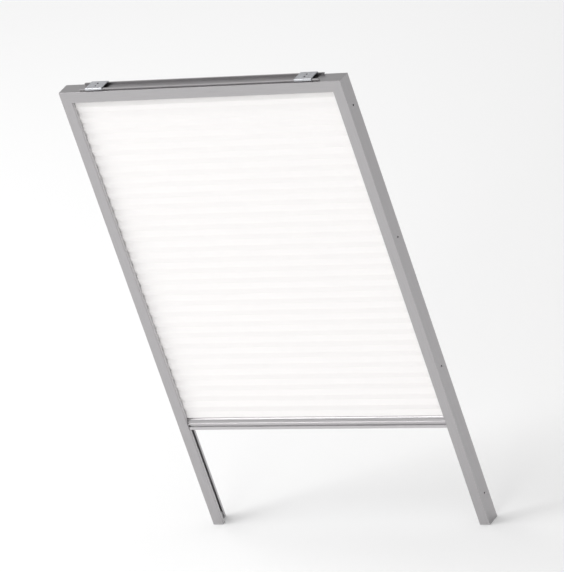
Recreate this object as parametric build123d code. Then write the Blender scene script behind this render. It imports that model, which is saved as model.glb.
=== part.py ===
from build123d import *
from math import hypot
import os

# A pleated blackout blind for a roof window, upright in its own frame, in millimetres.
# X runs to the right seen from the room, Y away from the room and Z up. The origin is the
# middle of the four bracket holes, on the face that the brackets press against the frame.

os.makedirs("parts", exist_ok=True)

# Overall sizes
BLIND_WIDTH = 673.0             # over the outer faces of the side channels
CHANNEL_LENGTH = 1027.0         # side channel from its mitred tip to its square end
VISIBLE_DROP = 750.8            # head channel's lower edge to the bar's top, as hung

# Fits
CUT_OVERRUN = 5.0               # how far a cut runs past the face it opens
SLIP_FIT = 0.3                  # plugs, clips and strips in their seats
RUNNING_FIT = 0.4               # what slides past what stands still

# Honeycomb cloth
PLEAT_PITCH = 25.3              # height of one cell as hung
PLEAT_DEPTH = 6.4               # from the bond line out to the fold
BOND_WIDTH = 1.6                # glued line between two cells
CLOTH_WALL = 0.45
CLOTH_ENTRY = 11.0              # how far the cloth reaches into a side channel
FOLD_ROOM = 0.3                 # left in front of and behind the folded stack

# Channel profile, the same for the head and the two sides
FACE_WIDTH = 24.0               # face seen from the room, wider than the back
PROFILE_WALL = 1.4
PROFILE_EDGE_RADIUS = 0.6
CHAMBER_WIDTH = 9.6             # between the outer wall and the ribs
RIB_HEIGHT = 4.0

# Holes in the side channels
FIXING_HOLE_RADIUS = 2.25
FIXING_INSET = 63.5             # outer holes from the ends of a channel
FIXING_MID_SPACING = 300.0      # inner pair of holes in a channel

# Pile seals behind the faces of the side channels
SEAL_WIDTH = 5.0
SEAL_TIP_WIDTH = 3.6
SEAL_HEIGHT = 7.4
SEAL_SETBACK = 0.5              # from the edge of the face

# Hanger ribs on the head channel
HANGER_HEIGHT = 5.0
HANGER_SPACING = 22.0           # middle to middle of the two ribs
HANGER_WALL = 1.5
HANGER_LIP = 2.2
HANGER_INSET = 50.0             # from the side channel's outer face to the ribs' ends

# Mounting brackets
BRACKET_SHEET = 1.6
BRACKET_WIDTH = 40.0
BRACKET_INSET = 86.5            # side channel's outer face to the bracket's middle
BRACKET_BEND_RADIUS = 0.5       # inside the upper bends
BRACKET_HOLE_RADIUS = 2.25
BRACKET_HOLE_SPACING = 10.0

# Strips that hold the cloth
TOP_STRIP_THICKNESS = 2.0
BOTTOM_STRIP_WIDTH = 14.0
BOTTOM_STRIP_THICKNESS = 1.6
STEM_WIDTH = 9.2
TOP_STEM_PROUD = 2.0            # stem below the head channel's ribs
BOTTOM_STEM_PROUD = 0.6         # stem above the bar's top

# Corner keys inside the mitred corners
KEY_SIDE_LEG = 50.0             # down the side channel, and the upper stop of the shoe
KEY_HEAD_LEG = 32.0             # along the head channel
KEY_LEAD_IN = 1.0

# Feet of the side channels
FOOT_FLANGE = 3.0
FOOT_EDGE_RADIUS = 0.8
FOOT_PLUG_HEIGHT = 12.0

# Guide cords, their stops and their springs
CORD_DIAMETER = 1.4
CORD_SETBACK = 1.9              # from the back of the shoe's neck to the cord's middle
CORD_BORE_ROOM = 0.5            # around the cord where it runs
CROSS_BORE_ROOM = 0.35          # around the cords that cross through the bar
CORD_BEND_RADIUS = 4.0          # middle of the cord, in the corner
CORD_TAIL = 3.0                 # cord inside the spring's end
CROSS_CORD_SPACING = 5.0
CROSS_CORD_GAP = 0.3            # from a cross cord's end to the guide cord
STOP_SLEEVE_DIAMETER = 3.6
STOP_SLEEVE_LENGTH = 5.0
STOP_SLEEVE_FIT = 0.1
SPRING_DIAMETER = 4.2
SPRING_WIRE = 1.2
SPRING_LENGTH = 24.0
SPRING_END = 1.5                # drawn-in end that holds the cord
SPRING_INSET = 50.0             # side channel's outer face to the spring's outer end
ANCHOR_LENGTH = 8.0
ANCHOR_SIDE = 4.0               # block in front of the spring's middle
ANCHOR_PEG_LENGTH = 6.0

# Bottom bar
BAR_HEIGHT = 25.0
BAR_WALL = 1.5
BAR_RECESS = 1.2                # lip's front behind the channels' faces
BAR_END_GAP = 1.0               # between the bar's end and a channel's mouth
BAR_EDGE_RADIUS = 1.2
BAR_SHOULDER_RADIUS = 7.0       # round of the face above the lip
BAR_SHOULDER_LAND = 2.2         # top face in front of the slot's wall
SLOT_WALL = 1.4
SLOT_FOOT = 2.4                 # foot over the bottom strip's flange
LIP_DROP = 8.8                  # bar's top to the root of the finger lip
LIP_REACH = 2.3                 # lip past the face above it
LIP_FALL = 0.6                  # slope of the lip's upper face
LIP_THICKNESS = 3.2
LIP_RADIUS = 2.0                # upper round of the lip's nose
LIP_UNDER_RADIUS = 0.8
GROOVE_HEIGHT = 5.4
GROOVE_DEPTH = 3.6
GROOVE_RADIUS = 0.5
FLANGE_SETBACK = 0.4            # lower flange behind the lip

# Bar shoes
SHOE_PLUG_LENGTH = 18.0
SHOE_EDGE_RADIUS = 1.0
SCREW_RELIEF_WIDTH = 9.0        # groove that passes the channel's screw heads
SCREW_RELIEF_DEPTH = 2.6

# Places across the blind, front to back
half_width = BLIND_WIDTH / 2
fold_half = BOND_WIDTH / 2 + hypot(PLEAT_DEPTH, PLEAT_PITCH / 2)
channel_clear = fold_half + FOLD_ROOM
channel_half = channel_clear + PROFILE_WALL
seal_tip = channel_clear - SEAL_HEIGHT
neck_half = seal_tip - RUNNING_FIT
slot_half = BOTTOM_STRIP_WIDTH / 2 + SLIP_FIT
slot_height = BOTTOM_STRIP_THICKNESS + SLIP_FIT
slot_mouth = slot_half - SLOT_FOOT
bar_front = channel_half - BAR_RECESS
bar_back = fold_half
bar_shoulder = slot_half + SLOT_WALL + BAR_SHOULDER_LAND
chamber_front = bar_front - GROOVE_DEPTH - BAR_WALL
chamber_back = bar_back - BAR_WALL
cord_radius = CORD_DIAMETER / 2
cord_bore = cord_radius + CORD_BORE_ROOM
cord_y = neck_half - CORD_SETBACK

# Places along X on the left side
rib_outer = PROFILE_WALL + CHAMBER_WIDTH
rib_inner = rib_outer + PROFILE_WALL
channel_left = -half_width
mouth_x = FACE_WIDTH - half_width
plug_left = PROFILE_WALL + SLIP_FIT - half_width
plug_right = rib_outer - SLIP_FIT - half_width
plug_half = channel_clear - SLIP_FIT
cord_x = PROFILE_WALL + CHAMBER_WIDTH / 2 - half_width
cloth_half = CLOTH_ENTRY - mouth_x
bar_half = -mouth_x - BAR_END_GAP
spring_x = SPRING_INSET - half_width

# Levels, from the mounting face down
hanger_top = -BRACKET_SHEET - SLIP_FIT
hanger_lip_under = hanger_top - HANGER_WALL
head_top = hanger_top - HANGER_HEIGHT
head_ceiling = head_top - PROFILE_WALL
head_rib = head_top - rib_outer
head_bottom = head_top - FACE_WIDTH
key_top = head_ceiling - SLIP_FIT
key_leg_bottom = head_rib + TOP_STRIP_THICKNESS + SLIP_FIT
key_bottom = key_top - KEY_SIDE_LEG
spring_z = (key_top + key_leg_bottom) / 2
cloth_top = head_top - rib_inner - TOP_STEM_PROUD
bar_top = head_bottom - VISIBLE_DROP
bar_bottom = bar_top - BAR_HEIGHT
slot_top = bar_top - SLOT_WALL
cloth_bottom = bar_top + BOTTOM_STEM_PROUD
pleat_count = max(round((cloth_top - cloth_bottom) / PLEAT_PITCH), 1)
chamber_top = slot_top - slot_height - BAR_WALL
chamber_bottom = bar_bottom + BAR_WALL
chamber_middle = (chamber_top + chamber_bottom) / 2
channel_bottom = head_top - CHANNEL_LENGTH
channel_middle = (head_top + channel_bottom) / 2
foot_bottom = channel_bottom - FOOT_FLANGE
foot_top = channel_bottom + FOOT_PLUG_HEIGHT


def area(left, right, low, high):
    """Rectangle between two pairs of sides."""
    return Pos((left + right) / 2, (low + high) / 2) * Rectangle(right - left, high - low)


def outline(*corners):
    """Face inside a closed run of corners, each given as across, up and radius."""
    points = [(across, up) for across, up, _ in corners]
    return make_face(FilletPolyline(*points, radius=[corner[2] for corner in corners], close=True))


def both_halves(front):
    """Face inside a run of corners in front of the middle and the same run behind it."""
    back = [(-across, up) for across, up in reversed(front)]
    return make_face(Polyline(*front, *back, close=True))


def along_x(section, start, end):
    """Solid of a section drawn in Y and Z, from one X to another."""
    return extrude(Plane.YZ.offset(start) * section, end - start)


def along_y(section, front, back):
    """Solid of a section drawn in X and Z, from one Y to another."""
    return extrude(Plane.XZ.offset(-back) * section, back - front)


def along_z(section, low, high):
    """Solid of a section drawn in X and Y, from one level to another."""
    return extrude(Plane.XY.offset(low) * section, high - low)


def rod_x(radius, y, z, start, end):
    """Round rod along X."""
    return along_x(Pos(y, z) * Circle(radius), start, end)


def rod_z(radius, x, y, low, high):
    """Round rod along Z."""
    return along_z(Pos(x, y) * Circle(radius), low, high)


def strip(flange_width, flange_low, thickness, stem_low, stem_high, half_length):
    """Strip with a flat flange that the aluminium holds and a stem that the cloth is bonded to."""
    section = area(-flange_width / 2, flange_width / 2, flange_low, flange_low + thickness)
    section += area(-STEM_WIDTH / 2, STEM_WIDTH / 2, stem_low, stem_high)
    return along_x(section, -half_length, half_length)


def channel_profile():
    """Section of the channels, from the outer wall at zero inwards: wide face, two inner ribs, short back."""
    section = outline(
        (0, -channel_half, PROFILE_EDGE_RADIUS),
        (FACE_WIDTH, -channel_half, PROFILE_EDGE_RADIUS),
        (FACE_WIDTH, -channel_clear, 0),
        (rib_inner, -channel_clear, 0),
        (rib_inner, channel_half, PROFILE_EDGE_RADIUS),
        (0, channel_half, PROFILE_EDGE_RADIUS),
    )
    section -= area(PROFILE_WALL, rib_inner + CUT_OVERRUN, -channel_clear, channel_clear)
    for side in (-1, 1):
        rib = sorted((side * channel_clear, side * (channel_clear - RIB_HEIGHT)))
        section += area(rib_outer, rib_inner, *rib)
    return section


def mitre_plane(side):
    """Plane of a mitred corner, facing up and towards the middle of the blind."""
    return Plane((side * half_width, 0, head_top), z_dir=(-side, 0, 1))


def head_channel():
    """Channel across the top with mitred ends, and two hooked ribs for the brackets."""
    across = Plane((channel_left, 0, head_top), x_dir=(0, 0, -1), z_dir=(1, 0, 0))
    channel = extrude(across * channel_profile(), BLIND_WIDTH)
    for side in (-1, 1):
        channel = split(channel, bisect_by=mitre_plane(side), keep=Keep.TOP)
    ribs = Sketch()
    for side in (-1, 1):
        rib = HANGER_SPACING / 2 + HANGER_WALL / 2
        wall = sorted((side * rib, side * (rib - HANGER_WALL)))
        hook = sorted((side * (rib - HANGER_WALL), side * (rib + HANGER_LIP)))
        ribs += area(*wall, head_top, hanger_top)
        ribs += area(*hook, hanger_lip_under, hanger_top)
    rib_half_length = half_width - HANGER_INSET
    return channel + along_x(ribs, -rib_half_length, rib_half_length)


def side_channel():
    """Channel down one side, mitred at the top, with two pairs of screw holes."""
    channel = along_z(Pos(channel_left, 0) * channel_profile(), channel_bottom, head_top)
    channel = split(channel, bisect_by=mitre_plane(-1), keep=Keep.BOTTOM)
    for spacing in (CHANNEL_LENGTH - FIXING_INSET * 2, FIXING_MID_SPACING):
        for side in (-1, 1):
            z = channel_middle + side * spacing / 2
            channel -= rod_x(FIXING_HOLE_RADIUS, 0, z, channel_left - CUT_OVERRUN,
                             channel_left + PROFILE_WALL)
    return channel


def front_seal():
    """Pile strip behind the face of a side channel, in front of the cloth's edge."""
    middle = mouth_x - SEAL_SETBACK - SEAL_WIDTH / 2
    section = make_face(Polyline(
        (middle - SEAL_WIDTH / 2, -channel_clear),
        (middle + SEAL_WIDTH / 2, -channel_clear),
        (middle + SEAL_TIP_WIDTH / 2, -seal_tip),
        (middle - SEAL_TIP_WIDTH / 2, -seal_tip),
        close=True,
    ))
    return along_z(section, channel_bottom, head_bottom)


def mounting_bracket():
    """Folded sheet clip: a plate with two screw holes and two legs that hook under the ribs."""
    rib_face = HANGER_SPACING / 2 + HANGER_WALL / 2
    inner = rib_face + HANGER_LIP + SLIP_FIT
    outer = inner + BRACKET_SHEET
    low = hanger_lip_under - BRACKET_SHEET
    outer_radius = BRACKET_BEND_RADIUS + BRACKET_SHEET
    clip = outline(
        (-outer, low, outer_radius),
        (outer, low, outer_radius),
        (outer, 0, outer_radius),
        (-outer, 0, outer_radius),
    )
    clip -= outline(
        (-inner, hanger_lip_under, 0),
        (inner, hanger_lip_under, 0),
        (inner, -BRACKET_SHEET, BRACKET_BEND_RADIUS),
        (-inner, -BRACKET_SHEET, BRACKET_BEND_RADIUS),
    )
    mouth = rib_face + SLIP_FIT
    clip -= area(-mouth, mouth, low - CUT_OVERRUN, hanger_lip_under)
    middle = channel_left + BRACKET_INSET
    bracket = along_x(clip, middle - BRACKET_WIDTH / 2, middle + BRACKET_WIDTH / 2)
    for side in (-1, 1):
        y = side * BRACKET_HOLE_SPACING / 2
        bracket -= rod_z(BRACKET_HOLE_RADIUS, middle, y, -BRACKET_SHEET - CUT_OVERRUN, CUT_OVERRUN)
    return bracket


def corner_key():
    """Moulded key that joins a mitred corner from inside, with a groove that leads the cord round."""
    side_leg = along_z(area(plug_left, plug_right, -plug_half, plug_half), key_bottom, key_top)
    side_leg = chamfer(side_leg.faces().sort_by(Axis.Z)[0].edges(), KEY_LEAD_IN)
    leg_end = plug_right + KEY_HEAD_LEG
    head_leg = along_x(area(-plug_half, plug_half, key_leg_bottom, key_top), plug_right, leg_end)
    head_leg = chamfer(head_leg.faces().sort_by(Axis.X)[-1].edges(), KEY_LEAD_IN)
    low = key_bottom - CUT_OVERRUN
    far = leg_end + CUT_OVERRUN
    groove = outline(
        (cord_x - cord_bore, low, 0),
        (cord_x + cord_bore, low, 0),
        (cord_x + cord_bore, spring_z - cord_bore, CORD_BEND_RADIUS - cord_bore),
        (far, spring_z - cord_bore, 0),
        (far, spring_z + cord_bore, 0),
        (cord_x - cord_bore, spring_z + cord_bore, CORD_BEND_RADIUS + cord_bore),
    )
    return side_leg + head_leg - along_y(groove, cord_y - cord_bore, plug_half + CUT_OVERRUN)


def channel_foot():
    """Moulded foot: flange over the ends of channel and seal, plug that stops the shoe, seat for the stop."""
    section = area(channel_left, mouth_x, -channel_half, -seal_tip)
    section += area(channel_left, channel_left + rib_inner, -channel_half, channel_half)
    flange = along_z(section, foot_bottom, channel_bottom)
    flange = fillet(flange.faces().sort_by(Axis.Z)[0].edges(), FOOT_EDGE_RADIUS)
    plug = along_z(area(plug_left, plug_right, -plug_half, plug_half), channel_bottom, foot_top)
    seat_radius = STOP_SLEEVE_DIAMETER / 2 + SLIP_FIT
    seat_top = foot_bottom + STOP_SLEEVE_LENGTH
    seat = rod_z(seat_radius, cord_x, cord_y, foot_bottom - CUT_OVERRUN, seat_top)
    bore = rod_z(cord_bore, cord_x, cord_y, foot_bottom, foot_top + CUT_OVERRUN)
    return flange + plug - seat - bore


def honeycomb_cloth():
    """Two pleated layers bonded along lines into hollow cells, with half a cell flat on each strip."""
    pitch = (cloth_top - cloth_bottom) / pleat_count
    bond = BOND_WIDTH / 2
    fold = bond + PLEAT_DEPTH
    side_shift = CLOTH_WALL * hypot(PLEAT_DEPTH, pitch / 2) / (pitch / 2)
    wall_run = PLEAT_DEPTH * CLOTH_WALL / (pitch / 2)
    cell_bond = bond - side_shift + wall_run
    cell_end = fold - side_shift - wall_run
    front = [(-fold, cloth_top)]
    cells = [[(-cell_end, cloth_top - CLOTH_WALL)]]
    for index in range(pleat_count):
        bond_level = cloth_top - (index + 1 / 2) * pitch
        fold_level = bond_level - pitch / 2
        front += [(-bond, bond_level), (-fold, fold_level)]
        cells[-1].append((-cell_bond, bond_level + CLOTH_WALL))
        cells.append([(-cell_bond, bond_level - CLOTH_WALL), (side_shift - fold, fold_level)])
    cells[-1][-1] = (-cell_end, cloth_bottom + CLOTH_WALL)
    section = both_halves(front)
    for cell in cells:
        section -= both_halves(cell)
    return along_x(section, -cloth_half, cloth_half)


def bottom_bar():
    """Extruded bar: rounded face, finger lip, shadow groove, flange, slot for the cloth."""
    lip_root = bar_top - LIP_DROP
    lip_high = lip_root - LIP_FALL
    lip_low = lip_high - LIP_THICKNESS
    groove_low = lip_low - GROOVE_HEIGHT
    groove_back = GROOVE_DEPTH - bar_front
    flange_front = FLANGE_SETBACK - bar_front
    section = outline(
        (-bar_shoulder, bar_top, BAR_SHOULDER_RADIUS),
        (LIP_REACH - bar_front, lip_root, GROOVE_RADIUS),
        (-bar_front, lip_high, LIP_RADIUS),
        (-bar_front, lip_low, LIP_UNDER_RADIUS),
        (groove_back, lip_low, GROOVE_RADIUS),
        (groove_back, groove_low, GROOVE_RADIUS),
        (flange_front, groove_low, GROOVE_RADIUS),
        (flange_front, bar_bottom, BAR_EDGE_RADIUS),
        (bar_back, bar_bottom, BAR_EDGE_RADIUS),
        (bar_back, bar_top, BAR_EDGE_RADIUS),
    )
    section -= area(-chamber_front, chamber_back, chamber_bottom, chamber_top)
    section -= area(slot_half + SLOT_WALL, chamber_back, chamber_bottom, bar_top - BAR_WALL)
    section -= area(-slot_half, slot_half, slot_top - slot_height, slot_top)
    section -= area(-slot_mouth, slot_mouth, slot_top, bar_top + CUT_OVERRUN)
    return along_x(section, -bar_half, bar_half)


def bar_shoe():
    """Moulded shoe: block that slides behind the ribs, neck, plug in the bar, bores for cords."""
    block_half = channel_clear - RUNNING_FIT
    block_left = channel_left + PROFILE_WALL + RUNNING_FIT
    block_right = channel_left + rib_outer - RUNNING_FIT
    block = along_x(area(-block_half, block_half, bar_bottom, bar_top), block_left, block_right)
    block = fillet(block.edges().filter_by(Axis.Z), SHOE_EDGE_RADIUS)
    relief_half = SCREW_RELIEF_WIDTH / 2
    relief = area(-relief_half, relief_half, bar_bottom - CUT_OVERRUN, bar_top + CUT_OVERRUN)
    block -= along_x(relief, block_left - CUT_OVERRUN, block_left + SCREW_RELIEF_DEPTH)
    low = chamber_bottom + SLIP_FIT
    high = chamber_top - SLIP_FIT
    neck = along_x(area(-neck_half, neck_half, low, high), block_right, -bar_half)
    plug_end = SHOE_PLUG_LENGTH - bar_half
    plug = along_x(area(SLIP_FIT - chamber_front, chamber_back - SLIP_FIT, low, high), -bar_half, plug_end)
    shoe = block + neck + plug
    shoe -= rod_z(cord_bore, cord_x, cord_y, bar_bottom - CUT_OVERRUN, bar_top + CUT_OVERRUN)
    for side in (-1, 1):
        z = chamber_middle + side * CROSS_CORD_SPACING / 2
        shoe -= rod_x(cord_radius + CROSS_BORE_ROOM, cord_y, z, cord_x, plug_end + CUT_OVERRUN)
    return shoe


def guide_cord():
    """Cord from the stop in the foot up the channel, round the corner and into the spring."""
    path = FilletPolyline(
        (cord_x, cord_y, foot_bottom),
        (cord_x, cord_y, spring_z),
        (spring_x + CORD_TAIL, cord_y, spring_z),
        radius=CORD_BEND_RADIUS,
    )
    return sweep(Plane(path @ 0, z_dir=path % 0) * Circle(cord_radius), path=path)


def cross_cord(side):
    """Cord through the bar, from one guide cord to the other."""
    reach = -cord_x - cord_radius - CROSS_CORD_GAP
    return rod_x(cord_radius, cord_y, chamber_middle + side * CROSS_CORD_SPACING / 2, -reach, reach)


def cord_stop():
    """Sleeve crimped on the cord's lower end."""
    high = foot_bottom + STOP_SLEEVE_LENGTH
    sleeve = rod_z(STOP_SLEEVE_DIAMETER / 2, cord_x, cord_y, foot_bottom, high)
    hole_radius = cord_radius + STOP_SLEEVE_FIT
    return sleeve - rod_z(hole_radius, cord_x, cord_y, foot_bottom - CUT_OVERRUN, high + CUT_OVERRUN)


def tension_spring():
    """Close coiled spring, drawn as a tube whose outer end is closed in round the cord."""
    outer = SPRING_DIAMETER / 2
    inner = outer - SPRING_WIRE
    neck = cord_radius + STOP_SLEEVE_FIT
    profile = Polyline(
        (0, neck),
        (0, outer),
        (SPRING_LENGTH, outer),
        (SPRING_LENGTH, inner),
        (SPRING_END, inner),
        (SPRING_END, neck),
        close=True,
    )
    return Pos(spring_x, cord_y, spring_z) * revolve(make_face(profile), Axis.X)


def spring_anchor():
    """Block under the head channel's outer wall, with a peg that holds the spring's inner end."""
    start = spring_x + SPRING_LENGTH
    section = area(cord_y - ANCHOR_SIDE, plug_half, key_leg_bottom, head_ceiling)
    block = along_x(section, start, start + ANCHOR_LENGTH)
    peg_radius = SPRING_DIAMETER / 2 - SPRING_WIRE - STOP_SLEEVE_FIT
    return block + rod_x(peg_radius, cord_y, spring_z, start - ANCHOR_PEG_LENGTH, start)


paired = {
    "mounting_bracket": mounting_bracket(),
    "corner_key": corner_key(),
    "side_channel": side_channel(),
    "front_seal": front_seal(),
    "channel_foot": channel_foot(),
    "bar_shoe": bar_shoe(),
    "guide_cord": guide_cord(),
    "cord_stop": cord_stop(),
    "tension_spring": tension_spring(),
    "spring_anchor": spring_anchor(),
}
pieces = {
    "head_channel": head_channel(),
    "cloth_top_strip": strip(plug_half * 2, head_rib, TOP_STRIP_THICKNESS, cloth_top, head_rib, cloth_half),
    "honeycomb_cloth": honeycomb_cloth(),
    "cloth_bottom_strip": strip(BOTTOM_STRIP_WIDTH, slot_top - BOTTOM_STRIP_THICKNESS,
                                BOTTOM_STRIP_THICKNESS, slot_top, cloth_bottom, bar_half),
    "bottom_bar": bottom_bar(),
    "cross_cord_upper": cross_cord(1),
    "cross_cord_lower": cross_cord(-1),
}
for name, solid in paired.items():
    pieces[f"{name}_left"] = solid
    pieces[f"{name}_right"] = mirror(solid, about=Plane.YZ)
for name, solid in pieces.items():
    export_step(solid, f"parts/{name}.step")
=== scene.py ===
import math

import bpy
import numpy as np
from mathutils import Matrix, Vector


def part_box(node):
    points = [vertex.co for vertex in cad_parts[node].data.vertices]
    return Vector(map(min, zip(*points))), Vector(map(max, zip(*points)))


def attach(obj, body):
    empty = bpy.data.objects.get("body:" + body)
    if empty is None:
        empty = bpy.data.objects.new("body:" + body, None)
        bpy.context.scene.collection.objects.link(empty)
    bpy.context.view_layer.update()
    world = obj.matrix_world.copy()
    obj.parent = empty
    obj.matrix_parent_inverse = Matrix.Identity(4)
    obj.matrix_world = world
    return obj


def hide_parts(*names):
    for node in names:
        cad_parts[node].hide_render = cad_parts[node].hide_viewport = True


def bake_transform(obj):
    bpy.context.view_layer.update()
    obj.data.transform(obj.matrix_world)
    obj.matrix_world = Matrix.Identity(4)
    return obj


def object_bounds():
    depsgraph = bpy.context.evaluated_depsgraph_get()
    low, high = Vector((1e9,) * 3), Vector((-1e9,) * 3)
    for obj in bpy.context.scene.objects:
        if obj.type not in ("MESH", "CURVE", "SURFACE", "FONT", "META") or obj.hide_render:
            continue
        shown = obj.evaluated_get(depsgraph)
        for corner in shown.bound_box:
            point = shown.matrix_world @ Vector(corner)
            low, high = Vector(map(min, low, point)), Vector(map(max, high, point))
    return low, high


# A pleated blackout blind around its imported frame, in metres: X to the right seen from the
# room, Y away from the room, Z up. The cloth, the pile seals and the coils of the springs are
# made here, and the rest of the solids get their finish here.
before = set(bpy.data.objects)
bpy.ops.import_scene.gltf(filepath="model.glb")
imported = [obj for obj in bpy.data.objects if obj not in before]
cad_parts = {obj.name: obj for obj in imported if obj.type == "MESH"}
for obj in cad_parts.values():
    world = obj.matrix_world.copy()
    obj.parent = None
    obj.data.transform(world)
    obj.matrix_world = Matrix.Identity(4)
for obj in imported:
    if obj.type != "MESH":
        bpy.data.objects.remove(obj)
cad_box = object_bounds()

# Camera
CAMERA_AZIMUTH = math.radians(37.4)     # to the right of straight in front
CAMERA_ELEVATION = math.radians(24.96)
CAMERA_ROLL = math.radians(-19.2)
CAMERA_DISTANCE = 12.95
CAMERA_LENS = 405.6                     # millimetres, on the usual 36 mm sensor
CAMERA_TARGET = Vector((0.0228, 0.0018, -0.4779))
CAMERA_REACH = 200.0

# Honeycomb cloth
PLEAT_PITCH = 0.0253
CLOTH_WALL = 0.00045
VALLEY_SHARE = 0.52                     # of a fold's reach from the middle, where the glued walls end
MIDDLE_SHARE = 0.03                     # of a fold's reach, where the two layers meet
GLUE_SHARE = 0.003                      # of a cell's height, half of the gap between glued walls
FOLD_SHARE = 0.035                      # of a cell's height, rounded on each side of a fold
FOLD_SOFTNESS_SHARE = 0.05              # of the depth, lost by the round of a fold
SAG_SHARE = 0.012                       # of the depth, how far the slopes bow in
SLOPE_STEPS = 4                         # strips that make up one slope
END_DROOP = 0.0004                      # how far the last fold hangs over the bottom strip
SHARP_ANGLE = math.radians(40.0)
CLOTH_COLUMNS = 36
FOLD_WANDER = 0.00022                   # how far a fold strays up and down along its length
DEPTH_WANDER = 0.00018                  # how far a fold strays in and out
WANDER_WAVELENGTHS = (0.9, 0.37, 0.16)
WANDER_LEAST_SHARE = 0.2                # of a fold's straying, in one of its waves
WANDER_MOST_SHARE = 0.5
CLOTH_SEED = 7

# Pile seals
TUFT_PITCH = 0.0011
TUFT_LEAN = 0.00018                     # how far a tuft leans to either side
TUFT_SHORT = 0.0006                     # how much shorter than the longest a tuft may be
TUFT_BEND_SHARE = 0.9                   # of a tuft's height, above which it leans no further
SEAL_TIP_SHARE = 0.72                   # of a seal's half width, out to the edge of its tips
SEAL_TIP_RISE_SHARE = 0.96              # of a seal's height, at that edge
SEAL_FLANK_SHARE = 0.9                  # of a seal's half width, halfway up its flank
SEAL_FLANK_RISE_SHARE = 0.45            # of a seal's height, at that place
SEAL_SEED = 15

# Tension springs
SPRING_WIRE_RADIUS = 0.0006
SPRING_TURN_STEPS = 16
SPRING_WIRE_SIDES = 8
SPRING_NECK_SHARE = 0.88                # radius of the drawn-in first turn

# Finishes
CHANNEL_COLOUR = (0.46, 0.449, 0.457)
# The bar is the channels' aluminium painted lighter, so that its shoulder and lip read as brighter
# highlights.
BAR_PAINTED_LIGHTER_COLOUR = (0.578, 0.564, 0.574)
GREY_PLASTIC_COLOUR = (0.43, 0.425, 0.43)
# Near-black shoes: painted shadow for the dark gap at each end of the bar, though the shoes themselves
# are grey plastic.
SHOE_PAINTED_SHADOW_COLOUR = (0.06, 0.06, 0.063)
STRIP_COLOUR = (0.78, 0.78, 0.76)
CLOTH_COLOUR = (0.98, 0.962, 0.955)
PILE_COLOUR = (0.66, 0.648, 0.656)
CORD_COLOUR = (0.80, 0.80, 0.79)
ZINC_COLOUR = (0.62, 0.63, 0.66)
NOISE_LOW = 0.3                         # most noise lies between these two values
NOISE_HIGH = 0.7
DIE_LINE_STRETCH = 0.02                 # along an extrusion, so that noise is drawn out into lines
GRAIN_SMOOTHER = 0.06                   # roughness lost on the tops of moulded grain
GRAIN_COARSER = 0.08                    # and gained in its pits
WEAVE_SCALE = 420.0
YARN_STRAY = 1.5
YARN_STRAY_SCALE = 0.08                 # slow, so that threads side by side stray alike
SLUB_STRETCH = (0.05, 1, 1)             # thick places in the yarn run along X
PILE_STRETCH = (1, 0.12, 1)             # hairs stand along Y

# Stage
FLOOR_HALF = 40.0
FLOOR_COLOUR = (0.96, 0.96, 0.96)
SKY_COLOUR = (1.0, 1.0, 1.0)
SKY_LOW = 0.41                          # brightness of the sky at the horizon
SKY_HIGH = 0.79                         # and straight above


def mesh_object(name, points, faces, smooth=True):
    """New mesh object in the scene."""
    mesh = bpy.data.meshes.new(name)
    mesh.from_pydata([tuple(p) for p in points], [], faces)
    mesh.update()
    for polygon in mesh.polygons:
        polygon.use_smooth = smooth
    piece = bpy.data.objects.new(name, mesh)
    bpy.context.scene.collection.objects.link(piece)
    return piece


def grid_faces(rows, columns, closed=False):
    """Quads of a grid of points that runs row by row."""
    faces = []
    for row in range(rows - 1):
        low, high = row * columns, (row + 1) * columns
        for column in range(columns if closed else columns - 1):
            right = (column + 1) % columns
            faces.append((low + column, low + right, high + right, high + column))
    return faces


def tube_faces(rings, sides):
    """Quads of a tube of points that runs ring by ring, with a cap on each end."""
    last = (rings - 1) * sides
    caps = [tuple(reversed(range(sides))), tuple(range(last, last + sides))]
    return grid_faces(rings, sides, closed=True) + caps


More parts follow.
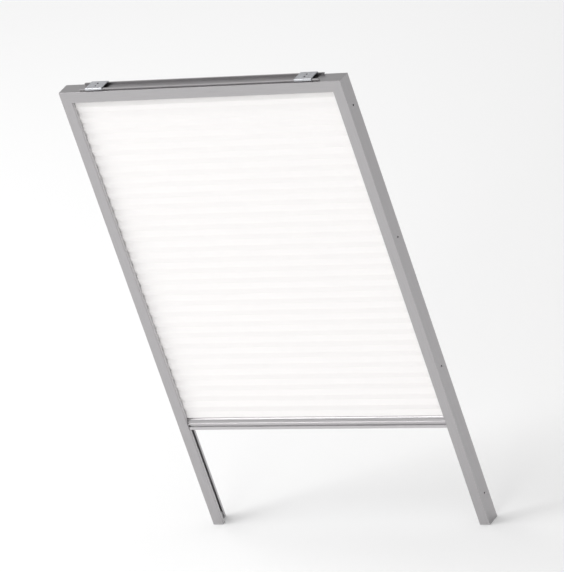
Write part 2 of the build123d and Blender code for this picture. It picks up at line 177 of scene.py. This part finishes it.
# Materials
class Finish:
    """A material with a Principled shader and short ways to add nodes to it."""

    def __init__(self, name, colour, roughness, metallic=0.0, **sockets):
        self.material = bpy.data.materials.new(name)
        self.material.use_nodes = True
        self.nodes = self.material.node_tree.nodes
        self.shader = self.nodes["Principled BSDF"]
        self.colour = colour
        self.shader.inputs["Base Color"].default_value = (*colour, 1)
        self.shader.inputs["Roughness"].default_value = roughness
        self.shader.inputs["Metallic"].default_value = metallic
        for socket, value in sockets.items():
            self.shader.inputs[socket.replace("_", " ")].default_value = value

    def link(self, output, target):
        """Lead one node's output to another node's input."""
        self.material.node_tree.links.new(output, target)

    def noise(self, scale, detail=3.0, stretch=(1, 1, 1)):
        """Noise in the object's own metres, finer along the axes with a larger stretch."""
        place = self.nodes.new("ShaderNodeTexCoord")
        mapping = self.nodes.new("ShaderNodeMapping")
        mapping.inputs["Scale"].default_value = stretch
        texture = self.nodes.new("ShaderNodeTexNoise")
        texture.inputs["Scale"].default_value = scale
        texture.inputs["Detail"].default_value = detail
        self.link(place.outputs["Object"], mapping.inputs["Vector"])
        self.link(mapping.outputs["Vector"], texture.inputs["Vector"])
        return texture.outputs["Fac"]

    def threads(self, axis, scale, stray=0.0):
        """Bands across one axis, for the threads of a weave or braid, which may stray a little."""
        place = self.nodes.new("ShaderNodeTexCoord")
        texture = self.nodes.new("ShaderNodeTexWave")
        texture.bands_direction = axis
        texture.inputs["Scale"].default_value = scale
        texture.inputs["Distortion"].default_value = stray
        texture.inputs["Detail Scale"].default_value = YARN_STRAY_SCALE
        self.link(place.outputs["Object"], texture.inputs["Vector"])
        return texture.outputs["Fac"]

    def sum(self, first, second):
        """Two values added."""
        add = self.nodes.new("ShaderNodeMath")
        add.operation = "ADD"
        self.link(first, add.inputs[0])
        self.link(second, add.inputs[1])
        return add.outputs["Value"]

    def shade(self, value, dark_share, low=0.35, high=0.65):
        """Colour from a darker shade to the full colour as a value rises."""
        ramp = self.nodes.new("ShaderNodeValToRGB")
        ramp.color_ramp.elements[0].position = low
        ramp.color_ramp.elements[1].position = high
        ramp.color_ramp.elements[0].color = (*[c * dark_share for c in self.colour], 1)
        ramp.color_ramp.elements[1].color = (*self.colour, 1)
        self.link(value, ramp.inputs["Fac"])
        self.link(ramp.outputs["Color"], self.shader.inputs["Base Color"])

    def rough(self, value, smooth, coarse):
        """Roughness between two ends as a value rises."""
        spread = self.nodes.new("ShaderNodeMapRange")
        spread.inputs["From Min"].default_value = NOISE_LOW
        spread.inputs["From Max"].default_value = NOISE_HIGH
        spread.inputs["To Min"].default_value = smooth
        spread.inputs["To Max"].default_value = coarse
        self.link(value, spread.inputs["Value"])
        self.link(spread.outputs["Result"], self.shader.inputs["Roughness"])

    def relief(self, value, depth, strength=1.0):
        """Bump of a depth in metres."""
        bump = self.nodes.new("ShaderNodeBump")
        bump.inputs["Strength"].default_value = strength
        bump.inputs["Distance"].default_value = depth
        self.link(value, bump.inputs["Height"])
        self.link(bump.outputs["Normal"], self.shader.inputs["Normal"])


def aluminium(name, along, colour):
    """Satin anodised aluminium with the fine die lines of an extrusion along one axis."""
    finish = Finish(name, colour, roughness=0.34, metallic=1.0)
    stretch = [DIE_LINE_STRETCH if axis == along else 1.0 for axis in "xyz"]
    lines = finish.noise(scale=900.0, detail=4.0, stretch=stretch)
    finish.shade(lines, dark_share=0.90)
    finish.rough(lines, smooth=0.28, coarse=0.40)
    finish.relief(lines, depth=0.00001, strength=0.3)
    return finish.material


def plastic(name, colour, roughness):
    """Moulded plastic with a fine eroded grain."""
    finish = Finish(name, colour, roughness, Specular_IOR_Level=0.4)
    grain = finish.noise(scale=1400.0, detail=2.0)
    finish.shade(finish.noise(scale=60.0), dark_share=0.95)
    finish.rough(grain, smooth=roughness - GRAIN_SMOOTHER, coarse=roughness + GRAIN_COARSER)
    finish.relief(grain, depth=0.00002, strength=0.4)
    return finish.material


def cloth_finish():
    """Matt white cloth with a plain weave of slightly uneven yarn."""
    finish = Finish("white_cloth", CLOTH_COLOUR, roughness=0.85, Specular_IOR_Level=0.2,
                    Sheen_Weight=0.15, Sheen_Roughness=0.5)
    upright = finish.threads("X", WEAVE_SCALE, YARN_STRAY)
    level = finish.threads("Z", WEAVE_SCALE, YARN_STRAY)
    weave = finish.sum(upright, level)
    slub = finish.noise(scale=500.0, detail=3.0, stretch=SLUB_STRETCH)
    finish.shade(weave, dark_share=0.84, low=0.0, high=1.0)
    finish.relief(finish.sum(weave, slub), depth=0.00008, strength=0.6)
    return finish.material


def pile_finish():
    """Grey brush pile."""
    finish = Finish("grey_pile", PILE_COLOUR, roughness=0.95, Sheen_Weight=0.3)
    hairs = finish.noise(scale=2600.0, detail=2.0, stretch=PILE_STRETCH)
    finish.shade(hairs, dark_share=0.78)
    finish.relief(hairs, depth=0.00006, strength=0.6)
    return finish.material


def cord_finish():
    """White braided cord."""
    finish = Finish("cord", CORD_COLOUR, roughness=0.8)
    slanted = finish.threads("DIAGONAL", scale=700.0)
    level = finish.threads("Z", scale=500.0)
    braid = finish.sum(slanted, level)
    finish.shade(braid, dark_share=0.8, low=0.2, high=1.2)
    finish.relief(braid, depth=0.00012, strength=0.7)
    return finish.material


def zinc_finish():
    """Zinc plated steel with a faint cloudy spangle."""
    finish = Finish("zinc_steel", ZINC_COLOUR, roughness=0.35, metallic=1.0)
    cloud = finish.noise(scale=180.0, detail=5.0)
    finish.shade(cloud, dark_share=0.86)
    finish.rough(cloud, smooth=0.28, coarse=0.46)
    return finish.material


# Cloth
cloth_low, cloth_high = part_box("honeycomb_cloth")
cloth_drop = cloth_high.z - cloth_low.z
cell_count = round(cloth_drop / PLEAT_PITCH)
cell_height = cloth_drop / cell_count
fold_reach = cloth_high.y


def cell_profile():
    """Places down from one fold to the next, past a glued wall: fall share, reach share."""
    half = [(0.0, 1.0)]
    slope_top, slope_end = FOLD_SHARE, 0.5 - GLUE_SHARE
    for step in np.linspace(0.0, 1.0, SLOPE_STEPS + 1):
        fall = slope_top + (slope_end - slope_top) * step
        bow = SAG_SHARE * math.sin(math.pi * step)
        depth = (1.0 - FOLD_SOFTNESS_SHARE) * (1.0 - step) - bow
        half.append((fall, VALLEY_SHARE + (1.0 - VALLEY_SHARE) * depth))
    half.append((slope_end, MIDDLE_SHARE))
    return half + [(1.0 - fall, reach) for fall, reach in reversed(half)]


def layer_profile():
    """Places down a whole layer: fall in cells, reach share."""
    places = [(0.0, MIDDLE_SHARE), (0.0, VALLEY_SHARE)]
    for cell in range(cell_count):
        places += [(cell + fall, share) for fall, share in cell_profile()[:-1]]
    return places + [(cell_count, 1.0), (cell_count, VALLEY_SHARE), (cell_count, MIDDLE_SHARE)]


def wander(random, count, places, size):
    """Slow waves along X, one row for each fold."""
    waves = np.zeros((count, len(places)))
    for length in WANDER_WAVELENGTHS:
        phase = random.uniform(0, 2 * math.pi, (count, 1))
        share = random.uniform(WANDER_LEAST_SHARE, WANDER_MOST_SHARE, (count, 1))
        waves += share * np.sin(2 * math.pi * places / length + phase)
    return waves * size


def layer_mesh(name, side, seed):
    """Pleated sheet in front (-1) or behind (1), with folds that stray but never past their reach."""
    random = np.random.RandomState(seed)
    columns = np.linspace(cloth_low.x, cloth_high.x, CLOTH_COLUMNS + 1)
    fold_drift = wander(random, cell_count + 1, columns, FOLD_WANDER)
    depth_drift = wander(random, cell_count + 1, columns, DEPTH_WANDER)
    depth_drift -= DEPTH_WANDER * WANDER_MOST_SHARE * len(WANDER_WAVELENGTHS)
    fold_drift[0] = 0.0
    fold_drift[-1] = -END_DROOP
    places = layer_profile()
    points = []
    for fall, share in places:
        fold = math.floor(fall + 0.5)
        depth = max(0.0, share - VALLEY_SHARE) / (1.0 - VALLEY_SHARE)
        level = cloth_high.z - fall * cell_height + fold_drift[fold] * depth
        reach = fold_reach * share + depth_drift[fold] * depth
        points += [(x, side * y, z) for x, y, z in zip(columns, reach, level)]
    faces = grid_faces(len(places), len(columns))
    if side > 0:
        faces = [face[::-1] for face in faces]
    return mesh_object(name, points, faces)


def thicken(layer):
    """Give a sheet its wall, behind the face that is drawn."""
    wall = layer.modifiers.new("wall", "SOLIDIFY")
    wall.thickness = CLOTH_WALL
    wall.offset = -1.0
    evaluated = layer.evaluated_get(bpy.context.evaluated_depsgraph_get())
    solid = bpy.data.meshes.new_from_object(evaluated)
    layer.modifiers.clear()
    layer.data = solid
    layer.data.set_sharp_from_angle(angle=SHARP_ANGLE)


def cloth_layer(name, side, seed):
    """One layer of the honeycomb, from the head down to the bar."""
    layer = layer_mesh(name, side, seed)
    thicken(layer)
    layer.data.materials.append(cloth_material)
    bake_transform(layer)
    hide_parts("honeycomb_cloth")


cloth_material = cloth_finish()
cloth_layer("cloth_front_layer", -1, CLOTH_SEED)
cloth_layer("cloth_back_layer", 1, CLOTH_SEED + 1)


# Pile seals
def seal_profile():
    """Places across a seal: share of its half width, share of its height."""
    flank = [(1, 0), (SEAL_FLANK_SHARE, SEAL_FLANK_RISE_SHARE), (SEAL_TIP_SHARE, SEAL_TIP_RISE_SHARE)]
    return [(-x, rise) for x, rise in flank] + [(0, 1)] + flank[::-1]


def pile_seal(node, seed):
    """Brush strip in place of a plain one: a row of tufts with uneven tips."""
    low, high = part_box(node)
    random = np.random.RandomState(seed)
    rows = round((high.z - low.z) / TUFT_PITCH) + 1
    middle, half = (low.x + high.x) / 2, (high.x - low.x) / 2
    across = seal_profile()
    points = []
    for level in np.linspace(low.z, high.z, rows):
        short = random.uniform(0, TUFT_SHORT, len(across))
        lean = random.uniform(-TUFT_LEAN, TUFT_LEAN, len(across))
        for (x, rise), cut, bend in zip(across, short, lean):
            y = low.y + (high.y - low.y - cut) * rise
            points.append((middle + x * half + bend * min(rise, TUFT_BEND_SHARE), y, level))
    faces = tube_faces(rows, len(across))
    seal = mesh_object(node + "_pile", points, [face[::-1] for face in faces])
    seal.data.materials.append(pile_material)
    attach(seal, "head")
    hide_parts(node)


pile_material = pile_finish()
pile_seal("front_seal_left", SEAL_SEED)
pile_seal("front_seal_right", SEAL_SEED + 1)


# Tension springs
def coil_spring(node, hand):
    """Close coiled spring along X in place of a plain tube, its first turn drawn in round the cord."""
    low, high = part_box(node)
    start, end = (low.x, high.x) if hand == "left" else (high.x, low.x)
    middle = (low + high) / 2
    ring = (high.z - low.z) / 2 - SPRING_WIRE_RADIUS
    inset = math.copysign(SPRING_WIRE_RADIUS, end - start)
    turns = round(abs(end - start) / (2 * SPRING_WIRE_RADIUS)) - 1
    steps = turns * SPRING_TURN_STEPS + 1
    points = []
    for step in range(steps):
        angle = 2 * math.pi * step / SPRING_TURN_STEPS
        along = start + inset + (end - start - 2 * inset) * step / (steps - 1)
        radius = ring * min(1.0, SPRING_NECK_SHARE + (1 - SPRING_NECK_SHARE) * step / SPRING_TURN_STEPS)
        for side in range(SPRING_WIRE_SIDES):
            tilt = 2 * math.pi * side / SPRING_WIRE_SIDES
            out = radius + SPRING_WIRE_RADIUS * math.cos(tilt)
            points.append((along + SPRING_WIRE_RADIUS * math.sin(tilt),
                           middle.y + out * math.cos(angle), middle.z + out * math.sin(angle)))
    faces = tube_faces(steps, SPRING_WIRE_SIDES)
    if hand == "left":
        faces = [face[::-1] for face in faces]
    coil = mesh_object(node + "_coil", points, faces)
    coil.data.materials.append(zinc)
    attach(coil, "head")
    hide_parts(node)


zinc = zinc_finish()
for hand in ("left", "right"):
    coil_spring(f"tension_spring_{hand}", hand)

# Finishes of the solids that stay, by the start of their names
grey_plastic = plastic("grey_plastic", GREY_PLASTIC_COLOUR, roughness=0.45)
dark_plastic = plastic("dark_plastic", SHOE_PAINTED_SHADOW_COLOUR, roughness=0.5)
strip_plastic = plastic("strip_plastic", STRIP_COLOUR, roughness=0.5)
cord = cord_finish()
finishes = {
    "head_channel": aluminium("aluminium_across", "x", CHANNEL_COLOUR),
    "side_channel": aluminium("aluminium_upright", "z", CHANNEL_COLOUR),
    # painted lighter copy of the channels' aluminium, for brighter highlights on the bar
    "bottom_bar": aluminium("aluminium_bar_painted_lighter", "x", BAR_PAINTED_LIGHTER_COLOUR),
    "corner_key": grey_plastic,
    "channel_foot": grey_plastic,
    "spring_anchor": grey_plastic,
    # painted shadow: the shoes are coloured near-black to stand for the shade at the bar's ends
    "bar_shoe": dark_plastic,
    "cloth_top_strip": strip_plastic,
    "cloth_bottom_strip": strip_plastic,
    "guide_cord": cord,
    "cross_cord": cord,
    "cord_stop": zinc,
    "mounting_bracket": zinc,
}
for node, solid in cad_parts.items():
    for kind, material in finishes.items():
        if node.startswith(kind):
            solid.data.materials.clear()
            solid.data.materials.append(material)

# Stage
floor_level = cad_box[0].z
corners = [(-FLOOR_HALF, -FLOOR_HALF), (FLOOR_HALF, -FLOOR_HALF),
           (FLOOR_HALF, FLOOR_HALF), (-FLOOR_HALF, FLOOR_HALF)]
floor = mesh_object("floor", [(x, y, floor_level) for x, y in corners], [(0, 1, 2, 3)], smooth=False)
floor_finish = Finish("pale_floor", FLOOR_COLOUR, roughness=0.9, Specular_IOR_Level=0.1)
floor.data.materials.append(floor_finish.material)

# Sky that grows brighter upwards
world = bpy.data.worlds.new("studio")
world.use_nodes = True
sky = world.node_tree.nodes["Background"]
sky.inputs["Color"].default_value = (*SKY_COLOUR, 1)
direction = world.node_tree.nodes.new("ShaderNodeTexCoord")
parts = world.node_tree.nodes.new("ShaderNodeSeparateXYZ")
rise = world.node_tree.nodes.new("ShaderNodeMapRange")
rise.inputs["To Min"].default_value = SKY_LOW
rise.inputs["To Max"].default_value = SKY_HIGH
world.node_tree.links.new(direction.outputs["Generated"], parts.inputs["Vector"])
world.node_tree.links.new(parts.outputs["Z"], rise.inputs["Value"])
world.node_tree.links.new(rise.outputs["Result"], sky.inputs["Strength"])
bpy.context.scene.world = world


# Lights
def area_light(name, place, target, width, height, power):
    """Soft light that faces a point."""
    lamp = bpy.data.lights.new(name, "AREA")
    lamp.shape = "RECTANGLE"
    lamp.size = width
    lamp.size_y = height
    lamp.energy = power
    light = bpy.data.objects.new(name, lamp)
    light.location = place
    light.rotation_euler = (Vector(target) - Vector(place)).to_track_quat("-Z", "Y").to_euler()
    bpy.context.scene.collection.objects.link(light)


middle = (cad_box[0] + cad_box[1]) / 2
area_light("key", place=(0.8, -6.2, 0.9), target=middle, width=3.0, height=3.0, power=90.0)
area_light("fill", place=(-4.6, -1.4, 1.8), target=middle, width=3.0, height=3.0, power=72.0)
area_light("top", place=(-2.75, 0.0, 3.3), target=middle, width=4.0, height=1.4, power=60.0)

# Camera, rolled about its line of sight
back = Vector((math.sin(CAMERA_AZIMUTH) * math.cos(CAMERA_ELEVATION),
               -math.cos(CAMERA_AZIMUTH) * math.cos(CAMERA_ELEVATION),
               math.sin(CAMERA_ELEVATION)))
level_right = Vector((math.cos(CAMERA_AZIMUTH), math.sin(CAMERA_AZIMUTH), 0.0))
level_up = back.cross(level_right)
right = level_right * math.cos(CAMERA_ROLL) + level_up * math.sin(CAMERA_ROLL)
up = level_up * math.cos(CAMERA_ROLL) - level_right * math.sin(CAMERA_ROLL)
turn = Matrix((right, up, back)).transposed().to_4x4()
lens = bpy.data.cameras.new("camera")
lens.lens = CAMERA_LENS
lens.clip_end = CAMERA_REACH
camera = bpy.data.objects.new("camera", lens)
camera.matrix_world = Matrix.Translation(CAMERA_TARGET + back * CAMERA_DISTANCE) @ turn
bpy.context.scene.collection.objects.link(camera)
bpy.context.scene.camera = camera
bpy.context.scene.view_settings.view_transform = "Standard"
